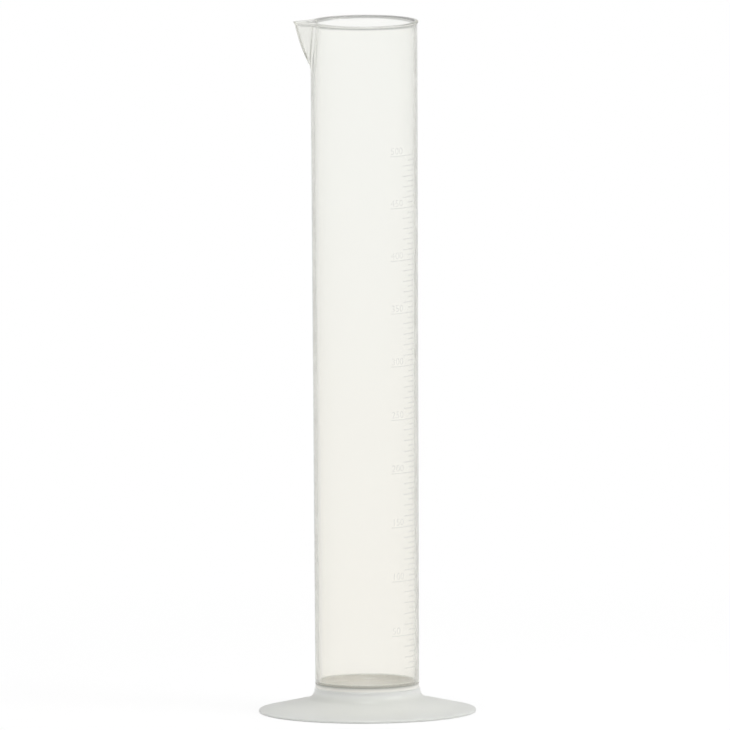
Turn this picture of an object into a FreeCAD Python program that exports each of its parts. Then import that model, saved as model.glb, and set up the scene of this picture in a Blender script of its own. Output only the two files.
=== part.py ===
"""A measuring cylinder moulded in natural polypropylene, in two pieces.

measuring_tube  a drafted tube with a closed floor, a rim bead and a hollow pouring spout;
                under its floor a narrower skirt runs on down as a spigot
foot            a concave round foot with a collar, whose socket takes the spigot

The origin is on the tube's axis at bench level, +Z is up and the spout points to -X.
Lengths are in millimetres and angles in degrees.
"""

import FreeCAD
import Part

import math
import os

# Overall sizes
TOTAL_HEIGHT = 345.9
FOOT_DIAMETER = 108.2

# The tube
TUBE_DIAMETER = 51.7  # outside, at the shoulder
DRAFT_ANGLE = 0.14  # each side widens by this towards the rim
TUBE_WALL = 1.8
SEAT_HEIGHT = 12.3  # the tube's shoulder stands on the foot's collar at this height
FLOOR_THICKNESS = 2.2
FLOOR_RISE = 0.1  # the inside of the floor lies this far above the shoulder
FLOOR_CORNER_RADIUS = 3.0
RIM_BEAD_PROUD = 0.5
RIM_BEAD_HEIGHT = 1.1
RIM_BEAD_CHAMFER = 0.3  # under the bead
RIM_EDGE_CHAMFER = 0.4  # both edges of the lip

# The pouring spout
SPOUT_REACH = 8.0  # from the tube's wall out to the tip, at the rim
SPOUT_DROP = 23.0  # from the rim down to where the keel leaves the wall
SPOUT_KEEL_RADIUS = 75.0  # the keel bulges outwards between those two places
SPOUT_MOUTH_ANGLE = 21.0  # round the axis at the rim, from the middle line to each flank's root
SPOUT_CHANNEL_RADIUS = 1.2  # inside the spout's nose
SPOUT_BLEND_RADIUS = 8.0  # where the flanks flow out of the tube's wall

# The spigot under the tube's floor
SHOULDER_WIDTH = 1.7
SPIGOT_WALL = 1.8
SPIGOT_CORNER_CHAMFER = 1.0  # inside, under the floor
SPIGOT_LEAD_IN = 0.5  # the chamfer that starts the spigot into its socket
SPIGOT_END_GAP = 0.3  # between the spigot's end and the socket's ledge
SOCKET_CLEARANCE = 0.05  # all round the spigot, at a press fit's nominal size

# The foot
FOOT_WALL = 1.8
FOOT_SLOPE = 12.5
FOOT_EDGE_HEIGHT = 1.2
FOOT_EDGE_CHAMFER = 0.5
UNDERSIDE_STEP = 0.35  # from the rest ring up to where the hollow underside starts
COLLAR_PROUD = 0.4  # how far the collar stands out from the tube's wall
COLLAR_LAND = 0.8  # the straight stretch at the collar's top
SOCKET_WALL = 2.0
SOCKET_ROOT_CHAMFER = 2.0  # under the foot, where its shell meets the socket
LEDGE_WIDTH = 3.9
LEDGE_THICKNESS = 2.0
LEDGE_LIFT = 1.0  # the ledge stays this far above the bench
SMALL_CHAMFER = 0.3  # on the foot's lesser edges

# Radii and heights that follow from the sizes above
SHOULDER_RADIUS = TUBE_DIAMETER / 2
FLOOR_TOP = SEAT_HEIGHT + FLOOR_RISE
FLOOR_UNDERSIDE = FLOOR_TOP - FLOOR_THICKNESS
SPIGOT_RADIUS = SHOULDER_RADIUS - SHOULDER_WIDTH
LEDGE_TOP = LEDGE_LIFT + LEDGE_THICKNESS
SPIGOT_END = LEDGE_TOP + SPIGOT_END_GAP
SOCKET_RADIUS = SPIGOT_RADIUS + SOCKET_CLEARANCE
FOOT_RADIUS = FOOT_DIAMETER / 2
COLLAR_RADIUS = SHOULDER_RADIUS + COLLAR_PROUD
OVERRUN = 10.0  # how far a form runs past the face that trims it
TOUCH = 0.001  # closer than this counts as touching
SEAM_SAMPLES = 5  # points looked at along an edge


def tube_radius(height):
    """The outside radius of the drafted tube."""
    return SHOULDER_RADIUS + (height - SEAT_HEIGHT) * math.tan(math.radians(DRAFT_ANGLE))


def foot_surface(radius):
    """The height of the foot's sloping top."""
    return FOOT_EDGE_HEIGHT + (FOOT_RADIUS - radius) * math.tan(math.radians(FOOT_SLOPE))


def sharp(radius, height):
    """A plain corner of a turned outline."""
    return radius, height, 0, "sharp"


def rounded(radius, height, arc_radius):
    """A corner of a turned outline that an arc rounds off."""
    return radius, height, arc_radius, "rounded"


def chamfered(radius, height, setback):
    """A corner of a turned outline that a straight cut takes off."""
    return radius, height, setback, "chamfered"


def turned(corners):
    """The solid of revolution of a closed outline of sharp, rounded and chamfered corners."""
    points = [FreeCAD.Vector(radius, 0, height) for radius, height, _, _ in corners]
    following = points[1:] + points[:1]
    edges = []
    starts = []
    ends = []
    for index, (_, _, size, form) in enumerate(corners):
        corner = points[index]
        back = (points[index - 1] - corner).normalize()
        ahead = (following[index] - corner).normalize()
        half_angle = back.getAngle(ahead) / 2
        setback = size / math.tan(half_angle) if form == "rounded" else size
        start = corner + back * setback
        end = corner + ahead * setback
        if form == "rounded":
            depth = size / math.sin(half_angle) - size
            middle = corner + (back + ahead).normalize() * depth
            edges.append(Part.Arc(start, middle, end).toShape())
        if form == "chamfered":
            edges.append(Part.LineSegment(start, end).toShape())
        starts.append(start)
        ends.append(end)
    edges += [
        Part.LineSegment(ends[index - 1], start).toShape() for index, start in enumerate(starts)
    ]
    outline = Part.Wire(Part.__sortEdges__(edges))
    return Part.Face(outline).revolve(FreeCAD.Vector(), FreeCAD.Vector(0, 0, 1), 360)


def slice_below(height, depth):
    """A block that reaches from the height down by depth, wider than the whole object."""
    side = 2 * FOOT_DIAMETER
    corner = FreeCAD.Vector(-side / 2, -side / 2, height - depth)
    return Part.makeBox(side, side, depth, corner)


def keel_pivot():
    """The middle of the keel's arc, and the angles at which its two ends lie below level."""
    tip = FreeCAD.Vector(-tube_radius(TOTAL_HEIGHT) - SPOUT_REACH, 0, TOTAL_HEIGHT)
    root_height = TOTAL_HEIGHT - SPOUT_DROP
    root = FreeCAD.Vector(-tube_radius(root_height), 0, root_height)
    chord = tip - root
    inwards = FreeCAD.Vector(chord.z, 0, -chord.x).normalize()
    pivot = (tip + root) / 2 + inwards * math.sqrt(SPOUT_KEEL_RADIUS**2 - (chord.Length / 2) ** 2)
    tip_angle = math.asin((pivot.z - tip.z) / SPOUT_KEEL_RADIUS)
    root_angle = math.asin((pivot.z - root.z) / SPOUT_KEEL_RADIUS)
    return pivot, tip_angle, root_angle


def flank_angle(pivot):
    """The angle between the middle line and each flank, which runs from its root to the nose."""
    mouth = math.radians(SPOUT_MOUTH_ANGLE)
    rim_radius = tube_radius(TOTAL_HEIGHT)
    swing = math.hypot(pivot.x + rim_radius * math.cos(mouth), pivot.z - TOTAL_HEIGHT)
    nose_radius = SPOUT_CHANNEL_RADIUS + TUBE_WALL
    ahead = SPOUT_KEEL_RADIUS - nose_radius - swing
    aside = rim_radius * math.sin(mouth)
    return math.atan2(aside, ahead) - math.asin(nose_radius / math.hypot(ahead, aside))


def spout_wedge(inset):
    """The round-nosed wedge that the spout's outside follows, drawn in by inset.

    Its V-shaped section swings about the keel's pivot, so that the keel is an arc."""
    pivot, tip_angle, root_angle = keel_pivot()
    half_angle = flank_angle(pivot)
    nose_radius = SPOUT_CHANNEL_RADIUS + TUBE_WALL - inset
    nose_x = pivot.x - SPOUT_KEEL_RADIUS + inset + nose_radius
    flank_x = nose_x - nose_radius * math.sin(half_angle)
    flank_y = nose_radius * math.cos(half_angle)
    # Each flank runs back to where it is nearest the axis at the rim, well inside the tube.
    flank_length = -flank_x * math.cos(half_angle) - flank_y * math.sin(half_angle)
    back_x = flank_x + flank_length * math.cos(half_angle)
    back_y = flank_y + flank_length * math.sin(half_angle)
    near_back = FreeCAD.Vector(back_x, -back_y, pivot.z)
    near_flank = FreeCAD.Vector(flank_x, -flank_y, pivot.z)
    keel = FreeCAD.Vector(nose_x - nose_radius, 0, pivot.z)
    far_flank = FreeCAD.Vector(flank_x, flank_y, pivot.z)
    far_back = FreeCAD.Vector(back_x, back_y, pivot.z)
    outline = Part.Wire(
        [
            Part.LineSegment(near_back, near_flank).toShape(),
            Part.Arc(near_flank, keel, far_flank).toShape(),
            Part.LineSegment(far_flank, far_back).toShape(),
            Part.LineSegment(far_back, near_back).toShape(),
        ]
    )
    overrun_angle = OVERRUN / (pivot.x - back_x)
    start = math.degrees(tip_angle - overrun_angle)
    swing = math.degrees(root_angle + overrun_angle) - start
    across = FreeCAD.Vector(0, -1, 0)
    section = Part.Face(outline)
    section.rotate(pivot, across, start)
    wedge = section.revolve(pivot, across, swing)
    return wedge.common(slice_below(TOTAL_HEIGHT + OVERRUN, TOTAL_HEIGHT))


def follows_tube(edge, inset):
    """True for the slanting edges where the wedge comes out of the tube's wall."""
    places = edge.discretize(Number=SEAM_SAMPLES)
    on_wall = all(abs(math.hypot(p.x, p.y) - tube_radius(p.z) + inset) < TOUCH for p in places)
    slants = abs(places[0].z - places[SEAM_SAMPLES // 2].z) > TOUCH
    return on_wall and slants and places[0].x < 0


def spouted_form(lower_outline, inset, trimmed_at):
    """The tube and spout as one filled form, drawn in by inset and cut off level at the top.

    lower_outline gives the corners below the drafted wall, from the axis outwards."""
    top = TOTAL_HEIGHT + OVERRUN
    wall_top = sharp(tube_radius(top) - inset, top)
    form = turned([*lower_outline, wall_top, sharp(0, top)]).fuse(spout_wedge(inset))
    seams = [edge for edge in form.Edges if follows_tube(edge, inset)]
    form = form.makeFillet(SPOUT_BLEND_RADIUS + inset, seams)
    return form.common(slice_below(trimmed_at, trimmed_at))


def level_edges(shape, height):
    """The edges that lie flat at the height."""
    boxes = [(edge, edge.optimalBoundingBox()) for edge in shape.Edges]
    flat = [(edge, box.ZMin) for edge, box in boxes if box.ZLength < TOUCH]
    return [edge for edge, place in flat if abs(place - height) < TOUCH]


def rim_bead():
    """The bead round the rim and the spout's lip, still filled in."""
    plain_wall = [sharp(0, SEAT_HEIGHT), sharp(SHOULDER_RADIUS + RIM_BEAD_PROUD, SEAT_HEIGHT)]
    form = spouted_form(plain_wall, -RIM_BEAD_PROUD, TOTAL_HEIGHT)
    disc = form.common(slice_below(TOTAL_HEIGHT, RIM_BEAD_HEIGHT))
    under_edges = level_edges(disc, TOTAL_HEIGHT - RIM_BEAD_HEIGHT)
    return disc.makeChamfer(RIM_BEAD_CHAMFER, under_edges)


def measuring_tube():
    outside = spouted_form(
        [
            sharp(0, SPIGOT_END),
            chamfered(SPIGOT_RADIUS, SPIGOT_END, SPIGOT_LEAD_IN),
            sharp(SPIGOT_RADIUS, SEAT_HEIGHT),
            sharp(SHOULDER_RADIUS, SEAT_HEIGHT),
        ],
        0,
        TOTAL_HEIGHT - RIM_BEAD_HEIGHT / 2,
    )
    bore_radius = tube_radius(FLOOR_TOP) - TUBE_WALL
    bore = spouted_form(
        [sharp(0, FLOOR_TOP), rounded(bore_radius, FLOOR_TOP, FLOOR_CORNER_RADIUS)],
        TUBE_WALL,
        TOTAL_HEIGHT + OVERRUN / 2,
    )
    skirt_bore_radius = SPIGOT_RADIUS - SPIGOT_WALL
    skirt_bore = turned(
        [
            sharp(0, 0),
            sharp(skirt_bore_radius, 0),
            chamfered(skirt_bore_radius, FLOOR_UNDERSIDE, SPIGOT_CORNER_CHAMFER),
            sharp(0, FLOOR_UNDERSIDE),
        ]
    )
    tube = outside.fuse(rim_bead()).cut(bore).cut(skirt_bore)
    return tube.makeChamfer(RIM_EDGE_CHAMFER, level_edges(tube, TOTAL_HEIGHT))


def foot():
    collar_corner = foot_surface(COLLAR_RADIUS)
    turn = math.radians(90 - FOOT_SLOPE)
    flare_radius = (SEAT_HEIGHT - COLLAR_LAND - collar_corner) / math.tan(turn / 2)
    shell_drop = FOOT_WALL / math.cos(math.radians(FOOT_SLOPE))
    ring_width = (shell_drop + UNDERSIDE_STEP - FOOT_EDGE_HEIGHT) / math.tan(math.radians(FOOT_SLOPE))
    ring_inside = FOOT_RADIUS - ring_width
    socket_outside = SOCKET_RADIUS + SOCKET_WALL
    ledge_inside = SOCKET_RADIUS - LEDGE_WIDTH
    return turned(
        [
            sharp(SOCKET_RADIUS, SEAT_HEIGHT),
            chamfered(COLLAR_RADIUS, SEAT_HEIGHT, SMALL_CHAMFER),
            rounded(COLLAR_RADIUS, collar_corner, flare_radius),
            chamfered(FOOT_RADIUS, FOOT_EDGE_HEIGHT, FOOT_EDGE_CHAMFER),
            chamfered(FOOT_RADIUS, 0, SMALL_CHAMFER),
            sharp(ring_inside, 0),
            sharp(ring_inside, UNDERSIDE_STEP),
            chamfered(socket_outside, foot_surface(socket_outside) - shell_drop, SOCKET_ROOT_CHAMFER),
            chamfered(socket_outside, LEDGE_LIFT, SMALL_CHAMFER),
            chamfered(ledge_inside, LEDGE_LIFT, SMALL_CHAMFER),
            chamfered(ledge_inside, LEDGE_TOP, SMALL_CHAMFER),
            sharp(SOCKET_RADIUS, LEDGE_TOP),
        ]
    )


PIECES = {"measuring_tube": measuring_tube, "foot": foot}

os.makedirs("parts", exist_ok=True)
for name, make in PIECES.items():
    piece = make()
    piece.exportStep(f"parts/{name}.step")
    box = piece.optimalBoundingBox()
    print(
        f"{name}: {len(piece.Solids)} solid, {piece.Volume / 1000:.2f} cm3, valid {piece.isValid()},",
        f"{box.XLength:.2f} x {box.YLength:.2f} x {box.ZLength:.2f} mm",
    )
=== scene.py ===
# %% [markdown]
# A tall measuring cylinder, moulded in natural polypropylene. It is two pieces: a drafted tube
# with a pouring spout and a raised scale, and a wide concave foot that the tube stands in. The
# plastic has no pigment, so nearly everything that the eye sees is light bent by thin walls.
# That makes smooth surfaces matter more than colour here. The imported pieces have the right
# sizes, but they are made of flat triangles, and a clear wall shows every one of them. So this
# lesson models both pieces again with many more faces, at the same sizes, and lets them stand
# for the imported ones. The scale is a mesh of its own, because it needs a finish of its own.

# %% Load the frame
import math

import bmesh
import bpy
import numpy as np
from mathutils import Matrix, Vector


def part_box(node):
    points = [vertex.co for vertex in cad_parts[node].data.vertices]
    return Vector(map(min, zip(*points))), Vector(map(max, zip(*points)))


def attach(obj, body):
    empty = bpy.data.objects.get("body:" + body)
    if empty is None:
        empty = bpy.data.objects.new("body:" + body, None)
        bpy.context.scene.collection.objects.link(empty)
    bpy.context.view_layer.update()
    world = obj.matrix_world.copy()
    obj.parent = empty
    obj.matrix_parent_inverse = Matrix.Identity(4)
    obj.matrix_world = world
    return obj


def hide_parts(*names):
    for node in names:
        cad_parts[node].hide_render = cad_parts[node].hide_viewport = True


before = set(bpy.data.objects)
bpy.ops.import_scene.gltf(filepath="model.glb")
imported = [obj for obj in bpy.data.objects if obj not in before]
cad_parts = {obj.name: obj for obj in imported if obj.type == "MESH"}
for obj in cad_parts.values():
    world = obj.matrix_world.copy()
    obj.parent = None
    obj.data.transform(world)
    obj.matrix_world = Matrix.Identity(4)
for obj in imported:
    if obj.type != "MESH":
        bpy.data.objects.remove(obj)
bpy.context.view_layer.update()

MM = 0.001
scene = bpy.context.scene


def placed(name, data):
    """A new object in the scene that carries some data."""
    made = bpy.data.objects.new(name, data)
    scene.collection.objects.link(made)
    return made


# %% [markdown]
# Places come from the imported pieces: the tube's top is the rim, and the foot's top is the seat
# where the tube's shoulder stands. Wall thicknesses and roundings can't be read from a box, so
# they are named here, in metres, and match the sizes that the two pieces were made to.

# %% Sizes
_, tube_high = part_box("measuring_tube")
foot_low, foot_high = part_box("foot")
BENCH = foot_low.z
SEAT = foot_high.z
RIM = tube_high.z
FOOT_RADIUS = foot_high.x

SHOULDER_RADIUS = 25.85 * MM
DRAFT = math.tan(math.radians(0.14))
WALL = 1.8 * MM
FLOOR_TOP = SEAT + 0.1 * MM
FLOOR_UNDERSIDE = FLOOR_TOP - 2.2 * MM
FLOOR_CORNER = 3.0 * MM
BEAD_PROUD = 0.5 * MM
BEAD_HEIGHT = 1.1 * MM
LIP_ROUNDING = 0.4 * MM
UNDER_BEAD = 0.3 * MM
SPIGOT_RADIUS = SHOULDER_RADIUS - 1.7 * MM
SPIGOT_BORE = SPIGOT_RADIUS - 1.8 * MM
SPIGOT_END = SEAT - 9.0 * MM
SPIGOT_LEAD = 0.5 * MM
SPIGOT_CORNER = 1.0 * MM


def wall_radius(height):
    """The tube's outside radius at a height."""
    return SHOULDER_RADIUS + (height - SEAT) * DRAFT


print("rim", round(RIM / MM, 2), "seat", round(SEAT / MM, 2), "foot radius", round(FOOT_RADIUS / MM, 2))

# %% [markdown]
# The camera comes before the pieces, so that each can be judged as soon as it is made. A slim
# object that is seen from far away shows almost no perspective: its sides stay parallel. An
# orthographic camera gives exactly that. It looks down a little, so that the rim and the foot
# open into flat ellipses, and it is turned by a third of a degree, so that the cylinder leans
# slightly to the left.

# %% Camera
VIEW_WIDTH = 363.3 * MM
VIEW_CENTRE = Vector((-0.3 * MM, 0.0, 173.5 * MM))
LOOK_DOWN = math.radians(6.6)
ROLL = math.radians(0.3)
CAMERA_DISTANCE = 3.0

camera_data = bpy.data.cameras.new("camera")
camera_data.type = "ORTHO"
camera_data.ortho_scale = VIEW_WIDTH
camera_data.clip_end = 4 * CAMERA_DISTANCE
camera = placed("camera", camera_data)
camera.matrix_world = (
    Matrix.Translation(VIEW_CENTRE)
    @ Matrix.Rotation(math.pi / 2 - LOOK_DOWN, 4, "X")
    @ Matrix.Rotation(-ROLL, 4, "Z")
    @ Matrix.Translation((0.0, 0.0, CAMERA_DISTANCE))
)
scene.camera = camera
print("camera at", [round(v, 3) for v in camera.matrix_world.translation])

# %% [markdown]
# Both pieces are round, so each starts as half of its own cross-section, drawn as a chain of
# edges that spin carries once round. Two helpers draw the chain: one adds a straight run in even
# steps, and one adds a part of a circle.

# %% Helpers for outlines
MERGE_DISTANCE = 0.002 * MM
ROUND_STEPS = 384
CREASE_ANGLE = math.radians(32)


def run(start, end, steps):
    """Points from start, which is left out, to end, in even steps."""
    return [tuple(a + (b - a) * i / steps for a, b in zip(start, end)) for i in range(1, steps + 1)]


def arc(centre, radius, start, end, steps):
    """Points along an arc from one angle to another, in degrees, both ends included."""
    angles = [math.radians(start + (end - start) * i / steps) for i in range(steps + 1)]
    return [(centre[0] + radius * math.cos(a), centre[1] + radius * math.sin(a)) for a in angles]


def spun(outline):
    """A mesh spun once round +Z from an outline of (radius, height) points."""
    bm = bmesh.new()
    points = [bm.verts.new((radius, 0.0, height)) for radius, height in outline]
    lines = [bm.edges.new(pair) for pair in zip(points, points[1:])]
    bmesh.ops.spin(
        bm,
        geom=points + lines,
        cent=(0, 0, 0),
        axis=(0, 0, 1),
        angle=math.tau,
        steps=ROUND_STEPS,
        use_merge=True,
    )
    bmesh.ops.remove_doubles(bm, verts=bm.verts, dist=MERGE_DISTANCE)
    bmesh.ops.recalc_face_normals(bm, faces=bm.faces)
    return bm


def piece_from(bm, name):
    """Turns a bmesh into a smooth piece that rides on the object."""
    mesh = bpy.data.meshes.new(name)
    bm.to_mesh(mesh)
    bm.free()
    mesh.shade_smooth()
    mesh.set_sharp_from_angle(angle=CREASE_ANGLE)
    piece = placed(name, mesh)
    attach(piece, "root")
    print(name, len(mesh.polygons), "faces")
    return piece


print("one step of a spin is", 360 / ROUND_STEPS, "degrees")

# %% [markdown]
# The tube's outline starts in the middle of the floor, climbs the inside, turns over the lip,
# comes down the outside past the bead to the shoulder, goes round the spigot that the foot
# hides, and ends in the middle of the floor's underside. One closed wall like this is what glass
# and clear plastic need: light must find a way in and a way out. The top of the wall gets more
# steps, because the spout bends it.

# %% The tube's outline
SPOUT_ROOT = RIM - 30 * MM
FLOOR_STEPS = 8
CORNER_STEPS = 8
WALL_STEPS = 24
SPOUT_STEPS = 30
LIP_STEPS = 5
BEAD_STEPS = 4
BELOW_STEPS = 6

rim_outside = wall_radius(RIM) + BEAD_PROUD
rim_inside = wall_radius(RIM) - WALL
bead_foot = RIM - BEAD_HEIGHT
floor_radius = wall_radius(FLOOR_TOP) - WALL
corner_centre = (floor_radius - FLOOR_CORNER, FLOOR_TOP + FLOOR_CORNER)
lip_low = RIM - LIP_ROUNDING
bead_low = bead_foot + UNDER_BEAD
root_inside = (wall_radius(SPOUT_ROOT) - WALL, SPOUT_ROOT)
root_outside = (wall_radius(SPOUT_ROOT), SPOUT_ROOT)
underside_edge = (SPIGOT_BORE - SPIGOT_CORNER, FLOOR_UNDERSIDE)

tube_outline = [
    (0.0, FLOOR_TOP),
    *run((0.0, FLOOR_TOP), (corner_centre[0], FLOOR_TOP), FLOOR_STEPS)[:-1],
    *arc(corner_centre, FLOOR_CORNER, -90, 0, CORNER_STEPS),
    *run((floor_radius, corner_centre[1]), root_inside, WALL_STEPS),
    *run(root_inside, (rim_inside, lip_low), SPOUT_STEPS)[:-1],
    *arc((rim_inside + LIP_ROUNDING, lip_low), LIP_ROUNDING, 180, 90, LIP_STEPS),
    *arc((rim_outside - LIP_ROUNDING, lip_low), LIP_ROUNDING, 90, 0, LIP_STEPS),
    *arc((rim_outside - UNDER_BEAD, bead_low), UNDER_BEAD, 0, -90, BEAD_STEPS),
    *run((wall_radius(bead_foot), bead_foot), root_outside, SPOUT_STEPS),
    *run(root_outside, (SHOULDER_RADIUS, SEAT), WALL_STEPS),
    (SPIGOT_RADIUS, SEAT),
    (SPIGOT_RADIUS, SPIGOT_END + SPIGOT_LEAD),
    (SPIGOT_RADIUS - SPIGOT_LEAD, SPIGOT_END),
    (SPIGOT_BORE, SPIGOT_END),
    (SPIGOT_BORE, FLOOR_UNDERSIDE - SPIGOT_CORNER),
    underside_edge,
    *run(underside_edge, (0.0, FLOOR_UNDERSIDE), BELOW_STEPS),
]
print("the tube's outline has", len(tube_outline), "points")

# %% [markdown]
# The spout is where the wall leaves its circle. In plan it is a wedge with a round nose. Seen
# from the side its keel is an arc, so the wedge swings about the arc's pivot as it climbs. A
# measuring cylinder's wall flows into it with no crease. Cutting and bevelling would leave seams
# that clear plastic shows, so the wall is moved instead. A signed distance tells how far a point
# lies outside the circle, and another how far it lies outside the wedge. Between them rolls a
# ball that touches both, and the surface that the ball leaves is the blend. Each wall vertex then
# slides out along its own radius until it is as far from the blended shape as it was from the
# plain circle, so the wall keeps its thickness all the way round.

# %% The wedge of the spout
SPOUT_REACH = 8.0 * MM
SPOUT_DROP = 23.0 * MM
KEEL_RADIUS = 75.0 * MM
MOUTH_ANGLE = math.radians(21)
NOSE = 3.0 * MM

keel_tip = Vector((-wall_radius(RIM) - SPOUT_REACH, RIM))
keel_root = Vector((-wall_radius(RIM - SPOUT_DROP), RIM - SPOUT_DROP))
chord = keel_tip - keel_root
inwards = Vector((chord.y, -chord.x)).normalized()
pivot = (keel_tip + keel_root) / 2 + inwards * math.sqrt(KEEL_RADIUS**2 - (chord.length / 2) ** 2)
mouth_swing = math.hypot(pivot.x + wall_radius(RIM) * math.cos(MOUTH_ANGLE), pivot.y - RIM)
mouth_ahead = KEEL_RADIUS - NOSE - mouth_swing
mouth_aside = wall_radius(RIM) * math.sin(MOUTH_ANGLE)
nose_angle = math.asin(NOSE / math.hypot(mouth_ahead, mouth_aside))
flank_angle = math.atan2(mouth_aside, mouth_ahead) - nose_angle
print("pivot at", [round(v / MM, 1) for v in pivot], "mm")
print("each flank lies at", round(math.degrees(flank_angle), 1), "degrees")

# %% The spout's blended distance
BLEND = 8.0 * MM
LEAST_LENGTH = 0.001 * MM
MOST_COSINE = 1 - 1e-6


def distance_outside(x, y, z):
    """How far points lie outside the blended form of tube and spout."""
    from_axis = np.maximum(np.hypot(x, y), LEAST_LENGTH)
    circle = from_axis - wall_radius(z)
    swing = np.hypot(x - pivot.x, z - pivot.y)
    ahead = swing - (KEEL_RADIUS - NOSE)
    aside = np.abs(y)
    sine = math.sin(flank_angle)
    cosine = math.cos(flank_angle)
    from_nose = np.maximum(np.hypot(ahead, aside), LEAST_LENGTH)
    beside = aside * sine > ahead * cosine
    wedge = np.where(beside, ahead * sine + aside * cosine, from_nose) - NOSE
    forward = np.where(beside, sine, ahead / from_nose)
    sideways = np.where(beside, cosine, aside / from_nose)
    turn = (forward * (x - pivot.x) / swing * x + sideways * aside) / from_axis
    turn = np.minimum(turn, MOST_COSINE)
    circle_to_ball = circle - BLEND
    wedge_to_ball = wedge - BLEND
    spread = circle_to_ball**2 + wedge_to_ball**2 - 2 * circle_to_ball * wedge_to_ball * turn
    rolled = BLEND - np.sqrt(np.maximum(spread, 0.0) / (1 - turn**2))
    in_blend = (circle_to_ball < wedge_to_ball * turn) & (wedge_to_ball < circle_to_ball * turn)
    joined = np.where(in_blend, rolled, np.minimum(circle, wedge))
    in_front = np.arctan2(aside, -x) < math.pi / 2 - flank_angle
    return np.where(in_front, joined, circle)


spout_tip = wall_radius(RIM) + SPOUT_REACH
print("at the tip", round(float(distance_outside(-spout_tip, 0.0, RIM)) / MM, 3), "mm outside")

# %% [markdown]
# Before the wall moves, its columns crowd towards the spout: the plain back of the tube needs
# few, and the nose, which turns sharply within a few millimetres, needs many. Each new radius is
# then found by halving: the middle of two radii, one too near and one too far, takes the place
# of one of them, over and over.

# %% The measuring tube
COLUMN_CROWDING = 0.35
SEARCH_STEPS = 30
SEARCH_FROM = 0.5 * SPIGOT_BORE
SEARCH_TO = spout_tip + SPOUT_REACH

tube_mesh = spun(tube_outline)
tube_vertices = list(tube_mesh.verts)
places = np.array([v.co[:] for v in tube_vertices])
plain_radius = np.hypot(places[:, 0], places[:, 1])
from_spout = np.arctan2(places[:, 1], -places[:, 0])
share = from_spout / math.pi
from_spout = from_spout * (COLUMN_CROWDING + (1 - COLUMN_CROWDING) * share**2)
heights = places[:, 2]
wanted = plain_radius - wall_radius(heights)
in_wall = (heights > SPOUT_ROOT) & (plain_radius > SPIGOT_BORE)
near = np.where(in_wall, SEARCH_FROM, plain_radius)
far = np.where(in_wall, SEARCH_TO, plain_radius)
for _ in range(SEARCH_STEPS):
    middle = (near + far) / 2
    too_near = distance_outside(-middle * np.cos(from_spout), middle * np.sin(from_spout), heights) < wanted
    near = np.where(in_wall & too_near, middle, near)
    far = np.where(in_wall & ~too_near, middle, far)
for vertex, radius, angle in zip(tube_vertices, (near + far) / 2, from_spout):
    vertex.co.x = -radius * math.cos(angle)
    vertex.co.y = radius * math.sin(angle)
tube = piece_from(tube_mesh, "clear_measuring_tube")
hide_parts("measuring_tube")

# %% [markdown]
# The foot is a thin shell. Its top slopes at about twelve degrees and sweeps up into a narrow
# collar, where the tube's spigot stands in a socket with a ledge at its lower end. Its underside
# is hollow, and steps down to the flat ring at its edge that it stands on. A solid cone would
# have to be cut open from below and bevelled, so the whole shell is drawn as one outline and
# spun, as the tube was.

# %% Sizes of the foot
FOOT_SLOPE = math.radians(12.5)
EDGE_HEIGHT = 1.2 * MM
EDGE_ROUNDING = 0.6 * MM
FOOT_WALL = 1.8 * MM
UNDERSIDE_STEP = 0.35 * MM
COLLAR_RADIUS = SHOULDER_RADIUS + 0.4 * MM
COLLAR_LAND = 0.8 * MM
SOCKET_RADIUS = SPIGOT_RADIUS + 0.05 * MM
SOCKET_OUTSIDE = SOCKET_RADIUS + 2.0 * MM
SOCKET_ROOT = 2.0 * MM
LEDGE_RADIUS = SOCKET_RADIUS - 3.9 * MM
LEDGE_LOW = BENCH + 1.0 * MM
LEDGE_HIGH = BENCH + 3.0 * MM
BREAK = 0.3 * MM


def foot_top(radius):
    """The height of the foot's slope at a radius."""
    return BENCH + EDGE_HEIGHT + (FOOT_RADIUS - radius) * math.tan(FOOT_SLOPE)


print("the slope would meet the collar at", round(foot_top(COLLAR_RADIUS) / MM, 2), "mm")

# %% The foot
FLARE_STEPS = 12
SLOPE_STEPS = 10
EDGE_STEPS = 6
SHELL_STEPS = 8

slope_degrees = math.degrees(FOOT_SLOPE)
# A rounding between the slope and an upright face begins this share of its radius from the corner.
setback_share = math.tan((math.pi / 2 - FOOT_SLOPE) / 2)
flare_radius = (SEAT - COLLAR_LAND - foot_top(COLLAR_RADIUS)) / setback_share
flare_centre = (COLLAR_RADIUS + flare_radius, SEAT - COLLAR_LAND)
flare = arc(flare_centre, flare_radius, 180, 270 - slope_degrees, FLARE_STEPS)
edge_centre = (FOOT_RADIUS - EDGE_ROUNDING, BENCH + EDGE_HEIGHT - EDGE_ROUNDING * setback_share)
edge = arc(edge_centre, EDGE_ROUNDING, 90 - slope_degrees, 0, EDGE_STEPS)
shell_drop = FOOT_WALL / math.cos(FOOT_SLOPE)
ring_inside = FOOT_RADIUS - (shell_drop + UNDERSIDE_STEP - EDGE_HEIGHT) / math.tan(FOOT_SLOPE)
ring_top = (ring_inside, BENCH + UNDERSIDE_STEP)
root_height = foot_top(SOCKET_OUTSIDE) - shell_drop
root_start = (
    SOCKET_OUTSIDE + SOCKET_ROOT * math.cos(FOOT_SLOPE),
    root_height - SOCKET_ROOT * math.sin(FOOT_SLOPE),
)

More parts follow.
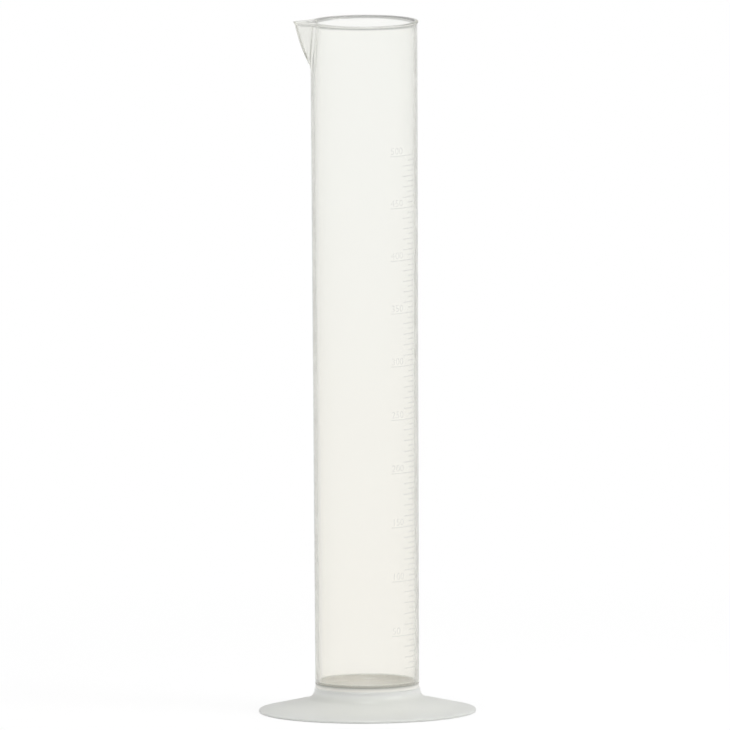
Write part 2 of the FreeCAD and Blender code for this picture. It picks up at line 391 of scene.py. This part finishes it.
foot_outline = [
    (SOCKET_RADIUS, SEAT),
    (COLLAR_RADIUS - BREAK, SEAT),
    (COLLAR_RADIUS, SEAT - BREAK),
    *flare,
    *run(flare[-1], edge[0], SLOPE_STEPS)[:-1],
    *edge,
    (FOOT_RADIUS, BENCH + BREAK),
    (FOOT_RADIUS - BREAK, BENCH),
    (ring_inside, BENCH),
    ring_top,
    *run(ring_top, root_start, SHELL_STEPS),
    (SOCKET_OUTSIDE, root_height - SOCKET_ROOT),
    (SOCKET_OUTSIDE, LEDGE_LOW + BREAK),
    (SOCKET_OUTSIDE - BREAK, LEDGE_LOW),
    (LEDGE_RADIUS + BREAK, LEDGE_LOW),
    (LEDGE_RADIUS, LEDGE_LOW + BREAK),
    (LEDGE_RADIUS, LEDGE_HIGH - BREAK),
    (LEDGE_RADIUS + BREAK, LEDGE_HIGH),
    (SOCKET_RADIUS, LEDGE_HIGH),
    (SOCKET_RADIUS, SEAT),
]
foot = piece_from(spun(foot_outline), "milky_foot")
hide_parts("foot")

# %% [markdown]
# The scale is what makes this a measuring cylinder. On a moulded one its lines and numbers are
# cut into the mould, so they stand up from the wall by a hair. A picture of them would do, but
# real ribs catch the light from every side. Their heights can't be in even steps, because the
# bore widens as it climbs. The bore is a slice of a cone, less the rounded corner at its floor,
# so the height for a volume comes straight from the formula for a cone.

# %% Heights of the scale
MILLILITRE = 1e-6
CORNER_SHARE = 1 - math.pi / 4
CORNER_CENTRE = (10 - 3 * math.pi) / (12 - 3 * math.pi)

corner_ring = math.tau * (floor_radius - CORNER_CENTRE * FLOOR_CORNER)
corner_loss = corner_ring * CORNER_SHARE * FLOOR_CORNER**2


def level_of(volume):
    """The height at which a volume of liquid stands."""
    cube = floor_radius**3 + 3 * DRAFT * (volume * MILLILITRE + corner_loss) / math.pi
    return FLOOR_TOP + (cube ** (1 / 3) - floor_radius) / DRAFT


for volume in (50, 250, 500):
    print(volume, "ml stands at", round(level_of(volume) / MM, 2), "mm")

# %% [markdown]
# A line is a rib with slanting sides, so that it leaves its mould. A four-cornered section is
# drawn at the line's start and spun round the wall to its end. Every second line is longer, and
# every tenth one runs on to the left, under its number.

# %% Raised lines
FIRST_LINE = 20
LAST_LINE = 500
LINE_STEP = 5
MIDDLE_STEP = 10
NUMBER_STEP = 50
LINE_END = math.radians(66)
SHORT_LINE = math.radians(12)
MIDDLE_LINE = math.radians(20)
LONG_LINE = math.radians(37)
LINE_HEIGHT = 0.6 * MM
LINE_TOP = 0.4 * MM
LINE_PROUD = 0.15 * MM
LINE_SUNK = 0.02 * MM
ARC_STEPS = 12


def raised_line(bm, height, length):
    """A rib on the wall, from its length before LINE_END up to LINE_END."""
    wall = wall_radius(height)
    start = LINE_END - length
    corners = [
        (wall - LINE_SUNK, -LINE_HEIGHT / 2),
        (wall + LINE_PROUD, -LINE_TOP / 2),
        (wall + LINE_PROUD, LINE_TOP / 2),
        (wall - LINE_SUNK, LINE_HEIGHT / 2),
    ]
    section = bm.faces.new(
        [bm.verts.new((out * math.sin(start), -out * math.cos(start), height + up)) for out, up in corners]
    )
    bmesh.ops.spin(
        bm,
        geom=[*section.verts, *section.edges, section],
        cent=(0, 0, 0),
        axis=(0, 0, 1),
        angle=length,
        steps=ARC_STEPS,
    )


scale_mesh = bmesh.new()
for volume in range(FIRST_LINE, LAST_LINE + 1, LINE_STEP):
    if volume % NUMBER_STEP == 0:
        length = LONG_LINE
    elif volume % MIDDLE_STEP == 0:
        length = MIDDLE_LINE
    else:
        length = SHORT_LINE
    raised_line(scale_mesh, level_of(volume), length)
print("lines from", FIRST_LINE, "to", LAST_LINE, "ml:", len(scale_mesh.faces), "faces")

# %% [markdown]
# The numbers are plain figures in Blender's own font. Text is a flat curve, so it is turned into
# a mesh first, and then each of its points is laid on the wall: across becomes an angle round
# the axis, up stays up, and depth goes out from the wall. A figure's front, back and sides come
# as separate faces, and merging the points that they share closes them.

# %% Raised numbers
NUMBER_SIZE = 5.0 * MM
NUMBER_GAP = 0.9 * MM
NUMBER_START = LINE_END - LONG_LINE
FIGURE_SMOOTHNESS = 3


def raised_number(bm, volume):
    """The volume in figures, standing on the left end of its line."""
    figures = bpy.data.curves.new("figures", "FONT")
    figures.body = str(volume)
    figures.size = NUMBER_SIZE
    figures.extrude = LINE_PROUD / 2
    figures.resolution_u = FIGURE_SMOOTHNESS
    carrier = bpy.data.objects.new("figures", figures)
    flat = bpy.data.meshes.new_from_object(carrier)
    already = len(bm.verts)
    bm.from_mesh(flat)
    bm.verts.ensure_lookup_table()
    for vertex in bm.verts[already:]:
        across, up, depth = vertex.co
        angle = NUMBER_START + across / SHOULDER_RADIUS
        height = level_of(volume) + NUMBER_GAP + up
        out = wall_radius(height) + LINE_PROUD / 2 + depth
        vertex.co = (out * math.sin(angle), -out * math.cos(angle), height)
    bpy.data.objects.remove(carrier)
    bpy.data.curves.remove(figures)
    bpy.data.meshes.remove(flat)


for volume in range(NUMBER_STEP, LAST_LINE + 1, NUMBER_STEP):
    raised_number(scale_mesh, volume)
bmesh.ops.remove_doubles(scale_mesh, verts=scale_mesh.verts, dist=MERGE_DISTANCE)
bmesh.ops.recalc_face_normals(scale_mesh, faces=scale_mesh.faces)
print("open edges left:", sum(edge.is_boundary for edge in scale_mesh.edges))
scale = piece_from(scale_mesh, "raised_scale")

# %% [markdown]
# Shader nodes are easier to read as formulas. This class wraps one output socket. Arithmetic on
# it adds Math nodes, and its node method adds any other node.

# %% A socket that does arithmetic
class Wire:
    """An output socket of a node tree, with Python's arithmetic."""

    def __init__(self, tree, socket=None):
        self.tree = tree
        self.socket = socket

    def node(self, kind, settings, inputs, output=0):
        """Adds a node. Its settings are set first, and then its inputs are linked or set."""
        made = self.tree.nodes.new(kind)
        for name, value in settings.items():
            setattr(made, name, value)
        for name, value in inputs.items():
            if isinstance(value, Wire):
                self.tree.links.new(value.socket, made.inputs[name])
            else:
                made.inputs[name].default_value = value
        return Wire(self.tree, made.outputs[output]) if made.outputs else None

    def math(self, operation, first, second):
        return self.node("ShaderNodeMath", {"operation": operation}, {0: first, 1: second})

    def __add__(self, other):
        return self.math("ADD", self, other)

    def __mul__(self, other):
        return self.math("MULTIPLY", self, other)

    def __sub__(self, other):
        return self.math("SUBTRACT", self, other)

    def __rsub__(self, other):
        return self.math("SUBTRACT", other, self)

    __radd__ = __add__


def new_material(name):
    """An empty material and a wire to start its nodes from."""
    material = bpy.data.materials.new(name)
    material.use_nodes = True
    material.node_tree.nodes.clear()
    return material, Wire(material.node_tree)


def finish_material(start, shader, **others):
    """Links a shader, and a volume if there is one, to the material's output."""
    start.node("ShaderNodeOutputMaterial", {}, {"Surface": shader, **others})
    print("material finished with", len(start.tree.nodes), "nodes")


print("Wire and its two material helpers are ready")

# %% [markdown]
# Moulded plastic is never quite even, so every finish here varies over its piece. Two things
# vary it: noise, and fades that go from one value to another between two places. Both use the
# piece's own coordinates, so the pattern stays on the piece.

# %% Helpers for finishes
def own_place(start):
    """Coordinates on the piece itself, in metres."""
    return start.node("ShaderNodeTexCoord", {}, {}, "Object")


def axis_distance(start):
    """The distance from the piece's upright axis."""
    level = start.node(
        "ShaderNodeVectorMath", {"operation": "MULTIPLY"}, {0: own_place(start), 1: (1.0, 1.0, 0.0)}
    )
    return start.node("ShaderNodeVectorMath", {"operation": "LENGTH"}, {0: level}, "Value")


def noise(start, scale, detail, stretch=(1.0, 1.0, 1.0)):
    """Noise on the piece's own coordinates, centred on zero."""
    stretched = start.node("ShaderNodeMapping", {}, {"Vector": own_place(start), "Scale": stretch})
    texture = start.node(
        "ShaderNodeTexNoise", {}, {"Vector": stretched, "Scale": scale, "Detail": detail}, "Fac"
    )
    return texture - 0.5


def bump(start, height, strength, distance):
    """A normal that tilts with a height."""
    return start.node(
        "ShaderNodeBump", {}, {"Height": height, "Strength": strength, "Distance": distance}
    )


def fade(start, place, ends, at_near, at_far):
    """One value at the nearer of two ends and another at the farther, eased at both."""
    near, far = ends
    inputs = {"Value": place, "From Min": near, "From Max": far, "To Min": at_near, "To Max": at_far}
    return start.node("ShaderNodeMapRange", {"interpolation_type": "SMOOTHSTEP"}, inputs)


def spoutwards(start, ends):
    """1 on the spout's side of two places along X, and 0 on the other side."""
    place = start.node("ShaderNodeSeparateXYZ", {}, {"Vector": own_place(start)}, "X")
    return fade(start, place, ends, 1.0, 0.0)


def climb(start, ends):
    """0 below two heights and 1 above them."""
    place = start.node("ShaderNodeSeparateXYZ", {}, {"Vector": own_place(start)}, "Z")
    return fade(start, place, ends, 0.0, 1.0)


def colour_between(start, factor, first, second):
    """A mix of two colours."""
    settings = {"data_type": "RGBA", "clamp_factor": True}
    return start.node("ShaderNodeMix", settings, {0: factor, 6: first, 7: second}, 2)


print("helpers for finishes are ready")

# %% [markdown]
# Natural polypropylene is clear with a haze. Most light goes through, a little is scattered
# inside the wall, and long paths pick up a faint warm tint. Glass with a colour would be too
# clean, and thick smoke inside the wall would be slow to render. So a clear shader is mixed with
# a milky one. The milky one gets a larger share where the wall is seen edge-on, in the thick
# base, along the lip and in the drawn-out spout. Each of these places but the first is a mask, a
# number between 0 and 1 that fades between two heights, two radii or two places across. The
# thick base takes in the whole wall just above the seat, and its inside up to the top of the
# floor's rounded corner.

# %% Where the wall is milky
LIP_ENDS = (RIM - 0.9 * MM, RIM - 0.4 * MM)
LIP_DEPTH = (rim_inside + 0.4 * MM, rim_inside + 1.2 * MM)
INSIDE_ENDS = (SHOULDER_RADIUS - 1.5 * MM, SHOULDER_RADIUS - 0.5 * MM)
CORNER_ENDS = (SEAT + 2.6 * MM, SEAT + 3.6 * MM)
STEP_ENDS = (SEAT + 0.6 * MM, SEAT + 3.4 * MM)
SPOUT_ENDS = (-SHOULDER_RADIUS - 1.8 * MM, -SHOULDER_RADIUS - 0.8 * MM)
ROOT_ENDS = (-SHOULDER_RADIUS + 1.0 * MM, -SHOULDER_RADIUS + 4.0 * MM)
ROOT_CLIMB = (RIM - 14.0 * MM, RIM - 8.0 * MM)

clear_plastic, start = new_material("clear_polypropylene")
off_axis = axis_distance(start)
lip = climb(start, LIP_ENDS)
lip_inside = lip * fade(start, off_axis, LIP_DEPTH, 1.0, 0.0)
corner = fade(start, off_axis, INSIDE_ENDS, 1.0, 0.0) * (1 - climb(start, CORNER_ENDS))
thick_base = start.math("MAXIMUM", corner, 1 - climb(start, STEP_ENDS))
root = spoutwards(start, ROOT_ENDS) * climb(start, ROOT_CLIMB)
drawn_out = start.math("MAXIMUM", spoutwards(start, SPOUT_ENDS), root)
print("the masks take", len(start.tree.nodes), "nodes")

# %% [markdown]
# The clear part is nearly polished. The tube was moulded on a long core, so its surface has a
# soft lengthwise waviness. The lip is duller, so that its tight rounding spreads its highlight
# instead of showing it as a row of bright dots.

# %% The clear part of the wall
REFRACTION = 1.49
TUBE_PALE = (0.99, 0.992, 0.98, 1.0)
TUBE_WARM = (0.985, 0.975, 0.95, 1.0)
TINT_SPREAD = 0.25
CORE_WAVES = (1.0, 1.0, 0.15)
CLEAR_ROUGHNESS = 0.08
ROUGHNESS_SPREAD = 0.04
LIP_ROUGHNESS = 0.25

rise = climb(start, (FLOOR_TOP, RIM))
tint_noise = noise(start, scale=9.0, detail=2.0) * TINT_SPREAD
waves = noise(start, scale=60.0, detail=2.0, stretch=CORE_WAVES)
polish = noise(start, scale=25.0, detail=3.0) * ROUGHNESS_SPREAD
clear = start.node(
    "ShaderNodeBsdfPrincipled",
    {},
    {
        "Base Color": colour_between(start, rise + tint_noise, TUBE_WARM, TUBE_PALE),
        "Roughness": polish + lip * LIP_ROUGHNESS + CLEAR_ROUGHNESS,
        "IOR": REFRACTION,
        "Transmission Weight": 1.0,
        "Normal": bump(start, waves, strength=0.1, distance=0.3 * MM),
    },
)
print("clear part ready, refraction", REFRACTION)

# %% [markdown]
# The milky part is made of two shaders. A veil throws back the light that falls on it, and a
# glow lets through the light from behind, as milk glass does. The base has little glow, because
# it is thick. The inside of the lip has none, and a darker veil that is painted shade: it draws
# the rim's thin dark line.

# %% The milky part of the wall
VEIL_GREY = (0.76, 0.77, 0.73, 1.0)
VEIL_MILK = (1.0, 0.985, 0.93, 1.0)
VEIL_SPOUT = (1.0, 1.0, 1.0, 1.0)
# The darkest veil is painted shade, for the dark line along the rim.
VEIL_PAINTED_RIM_SHADE = (0.30, 0.30, 0.30, 1.0)
VEIL_ROUGHNESS = 0.15
VEIL_LIP_ROUGHNESS = 0.3
VEIL_GLOW = (0.95, 0.95, 0.91, 1.0)
GLOW_SHARE = 0.5
BASE_BLOCKS = 0.85

veil_colour = colour_between(start, thick_base, VEIL_GREY, VEIL_MILK)
veil_colour = colour_between(start, drawn_out, veil_colour, VEIL_SPOUT)
# Painted shade: the inside of the lip gets a dark veil, which draws the rim's thin dark line.
veil_colour = colour_between(start, lip_inside, veil_colour, VEIL_PAINTED_RIM_SHADE)
veil = start.node(
    "ShaderNodeBsdfPrincipled",
    {},
    {
        "Base Color": veil_colour,
        "Roughness": lip * VEIL_LIP_ROUGHNESS + VEIL_ROUGHNESS,
        "IOR": REFRACTION,
    },
)
glow = start.node("ShaderNodeBsdfTranslucent", {}, {"Color": VEIL_GLOW})
glow_share = (1 - thick_base * BASE_BLOCKS) * (1 - lip_inside) * GLOW_SHARE
milky = start.node("ShaderNodeMixShader", {}, {0: glow_share, 1: veil, 2: glow})
print("milky part ready, glow share", GLOW_SHARE)

# %% [markdown]
# How much of the milky part shows depends on the angle, as gloss does, and on the masks. The
# warm tint grows with the path through the wall, so it is a volume that absorbs light.

# %% The clear and milky parts together
EDGE_HAZE = 0.4
SPOUT_EDGE_HAZE = 0.5
BASE_HAZE = 0.95
LIP_HAZE = 0.2
LIP_INSIDE_HAZE = 0.6
SPOUT_HAZE = 0.05
CLOUD = (0.90, 0.90, 0.83, 1.0)
CLOUD_DENSITY = 85.0

facing = start.node("ShaderNodeFresnel", {}, {"IOR": REFRACTION})
edge_haze = facing * (EDGE_HAZE + drawn_out * SPOUT_EDGE_HAZE)
lip_haze = (lip * LIP_HAZE + lip_inside * LIP_INSIDE_HAZE) * (1 - drawn_out)
haze = edge_haze + thick_base * BASE_HAZE + lip_haze + drawn_out * SPOUT_HAZE
plastic = start.node("ShaderNodeMixShader", {}, {0: haze, 1: clear, 2: milky})
cloud = start.node("ShaderNodeVolumeAbsorption", {}, {"Color": CLOUD, "Density": CLOUD_DENSITY})
finish_material(start, plastic, Volume=cloud)
tube.data.materials.append(clear_plastic)

# %% [markdown]
# The scale is moulded with the wall, in the same plastic, so it is nearly as clear. Raised lines
# of fully clear plastic can hardly be seen at all in a render, and printed ones would be far too
# dark. So the scale gets a rough, faintly grey skin that lets nearly everything through.

# %% Frosted plastic of the scale
FROST_PALE = (0.74, 0.75, 0.72, 1.0)
FROST_SHADE = (0.66, 0.67, 0.64, 1.0)
FROST_ALPHA = 0.08
FROST_ROUGHNESS = 0.35
FROST_SPREAD = 0.1

frosted_plastic, start = new_material("frosted_polypropylene")
patches = noise(start, scale=300.0, detail=2.0) + 0.5
grain = noise(start, scale=120.0, detail=2.0) * FROST_SPREAD
frost = start.node(
    "ShaderNodeBsdfPrincipled",
    {},
    {
        "Base Color": colour_between(start, patches, FROST_SHADE, FROST_PALE),
        "Roughness": grain + FROST_ROUGHNESS,
        "IOR": REFRACTION,
        "Alpha": FROST_ALPHA,
    },
)
finish_material(start, frost)
scale.data.materials.append(frosted_plastic)

# %% [markdown]
# The foot is the same kind of plastic again, but milkier. Light that enters it wanders a few
# millimetres before it comes out, which is what subsurface scattering does. Its colour is
# painted palest just below the collar, a painted highlight for the bright band there, and
# greyest at the thin outer edge, a painted shade.

# %% Milky plastic of the foot
FOOT_PALE = (0.79, 0.80, 0.75, 1.0)
FOOT_SHADE = (0.74, 0.75, 0.71, 1.0)
# Painted shade: the foot's colour turns greyer towards its low outer edge.
FOOT_EDGE_PAINTED_SHADE = (0.66, 0.67, 0.64, 1.0)
# Painted highlight: a bright band of colour just below the collar.
COLLAR_PAINTED_HIGHLIGHT = (0.95, 0.97, 0.91, 1.0)
EDGE_SHADE_ENDS = (BENCH + 0.5 * MM, BENCH + 5.0 * MM)
COLLAR_HIGHLIGHT_ENDS = (SEAT - 5.0 * MM, SEAT - 1.5 * MM)
FOOT_ROUGHNESS = 0.3
FOOT_SPREAD = 0.08
SCATTER_WEIGHT = 0.7
SCATTER_RADIUS = (4.0 * MM, 4.0 * MM, 4.0 * MM)

milky_plastic, start = new_material("milky_polypropylene")
patches = noise(start, scale=40.0, detail=3.0) + 0.5
foot_colour = colour_between(start, patches, FOOT_SHADE, FOOT_PALE)
# Painted shade: greyer towards the foot's low outer edge.
foot_colour = colour_between(start, climb(start, EDGE_SHADE_ENDS), FOOT_EDGE_PAINTED_SHADE, foot_colour)
# Painted highlight: paler colour in a band just below the collar.
foot_colour = colour_between(start, climb(start, COLLAR_HIGHLIGHT_ENDS), foot_colour, COLLAR_PAINTED_HIGHLIGHT)
grain = noise(start, scale=900.0, detail=2.0)
plastic = start.node(
    "ShaderNodeBsdfPrincipled",
    {},
    {
        "Base Color": foot_colour,
        "Roughness": noise(start, scale=60.0, detail=3.0) * FOOT_SPREAD + FOOT_ROUGHNESS,
        "IOR": REFRACTION,
        "Subsurface Weight": SCATTER_WEIGHT,
        "Subsurface Radius": SCATTER_RADIUS,
        "Subsurface Scale": 1.0,
        "Normal": bump(start, grain, strength=0.1, distance=0.05 * MM),
    },
)
finish_material(start, plastic)
foot.data.materials.append(milky_plastic)

# %% [markdown]
# The cylinder stands on a plain white floor in soft light. For the camera, and for light that
# has come through or off the plastic, the floor is mostly its own white, so that it stays even.
# The rest is ordinary matt white, which takes the object's shadow, and only near the object.

# %% Floor
FLOOR_HALF = 8.0
FLOOR_GAP = 0.05 * MM
SHADOW_SHARE = 0.2
SHADOW_ENDS = (0.15, 0.6)
MATT_WHITE = (0.9, 0.9, 0.9, 1.0)
WHITE = (1.0, 1.0, 1.0, 1.0)
SEEN_BY = ("Is Camera Ray", "Is Glossy Ray", "Is Transmission Ray")

floor_mesh = bmesh.new()
bmesh.ops.create_grid(floor_mesh, x_segments=1, y_segments=1, size=FLOOR_HALF)
bmesh.ops.translate(floor_mesh, verts=floor_mesh.verts, vec=(0, 0, BENCH - FLOOR_GAP))
floor_data = bpy.data.meshes.new("floor")
floor_mesh.to_mesh(floor_data)
floor_mesh.free()
floor = placed("floor", floor_data)

white_floor, start = new_material("white_floor")
camera_ray, glossy_ray, through_ray = [start.node("ShaderNodeLightPath", {}, {}, ray) for ray in SEEN_BY]
seen = start.math("MINIMUM", camera_ray + glossy_ray + through_ray, 1.0)
shadow = fade(start, axis_distance(start), SHADOW_ENDS, SHADOW_SHARE, 0.0)
matt = start.node("ShaderNodeBsdfDiffuse", {}, {"Color": MATT_WHITE})
own_white = start.node("ShaderNodeEmission", {}, {"Color": WHITE, "Strength": 1.0})
mixed = start.node("ShaderNodeMixShader", {}, {0: seen * (1 - shadow), 1: matt, 2: own_white})
finish_material(start, mixed)
floor_data.materials.append(white_floor)
print("floor is", 2 * FLOOR_HALF, "m wide")

# %% [markdown]
# A white object on white needs little more than an even, plain room. Three soft lamps give it
# shape: the right one is the stronger of the two in front, and a small one straight above sends
# light down the bore, to the inner floor.

# %% Light
ROOM_LIGHT = 0.58

world = bpy.data.worlds.new("soft_room")
scene.world = world
world.use_nodes = True
world.node_tree.nodes.clear()
start = Wire(world.node_tree)
room = start.node("ShaderNodeBackground", {}, {"Color": WHITE, "Strength": ROOM_LIGHT})
start.node("ShaderNodeOutputWorld", {}, {"Surface": room})


def soft_lamp(name, place, size, watts):
    """A square soft lamp that faces the middle of the object."""
    data = bpy.data.lights.new(name, "AREA")
    data.size = size
    data.energy = watts
    lamp = placed(name, data)
    lamp.location = place
    towards = VIEW_CENTRE - Vector(place)
    lamp.rotation_euler = towards.to_track_quat("-Z", "Y").to_euler()
    print(name, watts, "W")


soft_lamp("left_lamp", place=(-0.9, -0.8, 0.9), size=0.7, watts=0.8)
soft_lamp("right_lamp", place=(1.0, -0.5, 0.9), size=0.6, watts=4.5)
soft_lamp("top_lamp", place=(0.0, 0.0, 1.4), size=0.18, watts=8.5)
scene.view_settings.view_transform = "Standard"
